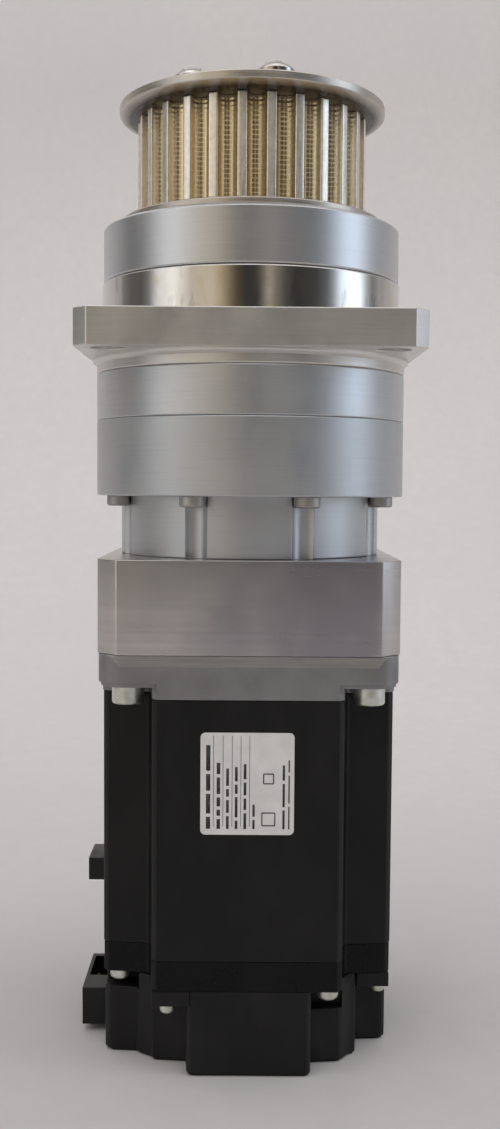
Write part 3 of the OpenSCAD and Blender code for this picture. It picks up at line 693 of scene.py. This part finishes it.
def refined_pieces(slot_of, materials):
    for node, width in EDGE_WIDTHS.items():
        refine(node, width * MM, slot_of, materials)
    refine("belt_pulley", PULLEY_EDGE * MM, slot_of, materials, cut_feed_marks, 3)


def slab(mesh, across, up, width, height, skin):
    """A thin box on the front of the motor, centred at across and up; skin is (back, front)."""
    back, front = skin
    made = bmesh.ops.create_cube(mesh, size=1)["verts"]
    for vert in made:
        vert.co = Vector((across + vert.co.x * width,
                          (back + front) / 2 + vert.co.y * (back - front),
                          up + vert.co.z * height))
    return made


def round_corners(mesh, verts, radius):
    """Rounds the four corners of a slab that run along Y."""
    edges = [edge for edge in mesh.edges if edge.verts[0] in verts and edge.verts[1] in verts
             and abs((edge.verts[0].co - edge.verts[1].co).normalized().y) > 0.99]
    bmesh.ops.bevel(mesh, geom=edges, offset=radius, segments=6, affect="EDGES", profile=0.5)


# The label's printing, in millimetres from the middle of its foot: bars as their place across,
# their width and the lengths of their dashes from the foot up; thin rules; and small squares as
# their place across and up and their side
LABEL_BARS = ((-10.3, 1.1, (3.2, 5.2, 4.4, 6.8)), (-7.6, 0.9, (2.6, 1.6, 2.4, 4.4, 3.0)),
              (-5.2, 0.7, (3.4, 3.4, 2.0, 4.6)), (-2.9, 0.7, (2.2, 5.4, 2.4, 3.8)),
              (-0.6, 0.7, (4.2, 3.0, 3.4, 4.0)), (1.7, 0.6, (2.4, 3.2)),
              (9.6, 0.6, (5.0, 6.2, 4.0)), (11.0, 0.35, (6.0, 7.4, 3.2)))
LABEL_RULES = (-8.9, -6.4, -4.0, -1.7, 0.6)
LABEL_SQUARES = ((5.6, 4.2, 3.4), (5.6, 15.0, 2.6))


def label(materials):
    """A blank rating plate: silver film with plain ruled lines and bars, and no lettering."""
    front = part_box("stator_frame")[0].y
    centre_x, centre_z = -0.15 * MM, -123.5 * MM
    width, height = 24.7 * MM, 27.2 * MM
    corner, edge = 1.3 * MM, 0.04 * MM
    film = bmesh.new()
    plate = slab(film, centre_x, centre_z, width, height,
                 (front + 0.02 * MM, front - 0.14 * MM))
    round_corners(film, plate, corner)
    mark_edges(film, edge)
    soften(add_piece("label_film", film, "housing", materials["label_film"]), edge)

    ink = bmesh.new()
    skin = (front - 0.13 * MM, front - 0.17 * MM)
    foot = centre_z - height / 2
    first_dash, between_dashes = 1.6, 0.9
    for across, line, dashes in LABEL_BARS:
        at = foot + first_dash * MM
        for dash in dashes:
            slab(ink, centre_x + across * MM, at + dash * MM / 2, line * MM, dash * MM, skin)
            at += (dash + between_dashes) * MM
    rule_up, rule_line, rule_length = 14.3, 0.12, 24.2
    for across in LABEL_RULES:
        slab(ink, centre_x + across * MM, foot + rule_up * MM, rule_line * MM, rule_length * MM,
             skin)
    line = 0.3
    for across, up, side in LABEL_SQUARES:
        half = side / 2
        for dx, dz, wide, high in ((-half, 0, line, side), (half, 0, line, side),
                                   (0, -half, side, line), (0, half, side, line)):
            slab(ink, centre_x + (across + dx) * MM, foot + (up + dz) * MM, wide * MM, high * MM,
                 skin)
    add_piece("label_lines", ink, "housing", materials["label_ink"])


# ---------- room, light and camera ----------

def backdrop_paper():
    """Pale matt paper with a fine tooth and broad, faint patches."""
    material = shader("backdrop", (0.70, 0.675, 0.67), 0.85)
    tooth = noise(material, 9 * MM, 5.0)
    patch = noise(material, 160 * MM, 3.0)
    tone = fade(material, tooth, 0.3, 0.7, (0.66, 0.637, 0.633), (0.63, 0.608, 0.605))
    set_colour(material, fade(material, patch, 0.35, 0.7, tone, (0.61, 0.592, 0.60), 0.6))
    set_bump(material, (tooth, 0.3, 0.3 * MM))
    return material


def backdrop():
    """One pale sweep, in metres: floor, a wide curve and the wall behind."""
    floor_z = cad_low.z
    front, bend, radius, top, half = -1.6, 0.35, 0.55, 2.2, 2.0
    profile = [(front, floor_z)]
    steps = 24
    for i in range(steps + 1):
        angle = math.pi / 2 * i / steps
        profile.append((bend + radius * math.sin(angle), floor_z + radius * (1 - math.cos(angle))))
    profile.append((bend + radius, floor_z + top))
    mesh = bmesh.new()
    rows = [[mesh.verts.new((x, y, z)) for y, z in profile] for x in (-half, half)]
    for i in range(len(profile) - 1):
        mesh.faces.new((rows[0][i], rows[1][i], rows[1][i + 1], rows[0][i + 1]))
    data = bpy.data.meshes.new("backdrop")
    mesh.to_mesh(data)
    mesh.free()
    data.shade_smooth()
    sweep = bpy.data.objects.new("backdrop", data)
    SCENE.collection.objects.link(sweep)
    data.materials.append(backdrop_paper())


# The room that the metal reflects: bearing in degrees from the camera's side, positive to the
# right of the object, brightness, and warmth from -1 (blue) to 1 (amber)
ROOM = ((-180, 0.50, 0.1), (-145, 0.42, 0.1), (-123, 0.30, 0.15), (-104, 0.12, 0.2),
        (-90, 0.10, 0.2), (-82, 0.22, 0.0), (-74, 0.85, 0.0), (-60, 1.10, 0.05),
        (-53, 0.85, 0.15), (-46, 0.54, 0.45), (-29, 0.53, 0.65), (-23, 0.40, 0.85),
        (-17, 0.21, 1.0), (-11, 0.075, 0.9), (-4, 0.04, 0.3), (5, 0.045, 0.2),
        (9, 0.16, 0.3), (13, 0.36, 0.5), (18, 0.20, 0.3), (25, 0.08, 0.3),
        (34, 0.038, 0.0), (50, 0.06, 0.0), (59, 0.14, -0.2), (65, 0.42, -0.35),
        (71, 1.15, -0.45), (80, 1.55, -0.5), (89, 1.55, -0.4), (96, 0.56, -0.2),
        (104, 0.19, -0.1), (115, 0.38, -0.1), (145, 0.52, 0.0), (180, 0.50, 0.1))
CEILING = (1.1, 1.09, 1.09)
CEILING_FROM, CEILING_FULL = 0.35, 0.75  # how far up a ray looks, from 0 level to 1 upright


def room_colour(brightness, warmth):
    return (brightness * (1 + 0.25 * warmth), brightness, brightness * (1 - 0.35 * warmth), 1)


def room_light():
    """The room around the object, as a ring of windows and walls under a pale ceiling."""
    world = bpy.data.worlds.new("room")
    world.use_nodes = True
    SCENE.world = world
    tree = world.node_tree
    coords = tree.nodes.new("ShaderNodeTexCoord")
    look = tree.nodes.new("ShaderNodeSeparateXYZ")
    tree.links.new(coords.outputs["Generated"], look.inputs["Vector"])
    towards = calc(world, "MULTIPLY", look.outputs["Y"], -1.0)
    bearing = calc(world, "ARCTAN2", look.outputs["X"], towards)
    turn = calc(world, "ADD", calc(world, "MULTIPLY", bearing, 1 / (2 * math.pi)), 0.5)
    ring = tree.nodes.new("ShaderNodeValToRGB")
    tree.links.new(turn, ring.inputs["Fac"])
    stops = ring.color_ramp.elements
    while len(stops) < len(ROOM):
        stops.new(0.5)
    for stop, (angle, brightness, warmth) in zip(stops, ROOM):
        stop.position = (angle + 180) / 360
        stop.color = room_colour(brightness, warmth)
    rise = remap(world, look.outputs["Z"], CEILING_FROM, CEILING_FULL, 0, 1)
    light = blend(world, rise, ring.outputs["Color"], CEILING)
    background = tree.nodes["Background"]
    tree.links.new(light, background.inputs["Color"])
    background.inputs["Strength"].default_value = 1.0


def wall_wash():
    """A soft lamp above and in front of the wall, in metres, watts and degrees."""
    lamp_at, look_at = Vector((-0.45, 0.2, 1.4)), Vector((-0.2, 0.9, 0.72))
    data = bpy.data.lights.new("wall_wash", "AREA")
    data.shape = "RECTANGLE"
    data.size, data.size_y = 2.0, 0.4
    data.energy = 4.8
    data.color = (1.0, 0.985, 0.98)
    data.spread = math.radians(105)
    lamp = bpy.data.objects.new("wall_wash", data)
    lamp.location = lamp_at
    lamp.rotation_euler = (look_at - lamp_at).to_track_quat("-Z", "Y").to_euler()
    SCENE.collection.objects.link(lamp)


def camera():
    data = bpy.data.cameras.new("camera")
    data.sensor_fit = "VERTICAL"
    data.sensor_height = SENSOR_HEIGHT
    data.lens = LENS
    data.clip_start = CLIP_START
    data.clip_end = CLIP_END
    view = bpy.data.objects.new("camera", data)
    view.location = [distance * MM for distance in CAMERA_AT]
    view.rotation_euler = Euler([math.radians(turn) for turn in CAMERA_TURN])
    SCENE.collection.objects.link(view)
    SCENE.camera = view


def main():
    camera()
    backdrop()
    room_light()
    wall_wash()
    materials = {make.__name__: make() for make in SLOT_MAKERS + OWN_FINISHES}
    slot_of = dress_cad_nodes(materials)
    refined_pieces(slot_of, materials)
    label(materials)
    SCENE.view_settings.view_transform = "Standard"
    SCENE.view_settings.look = "None"


main()
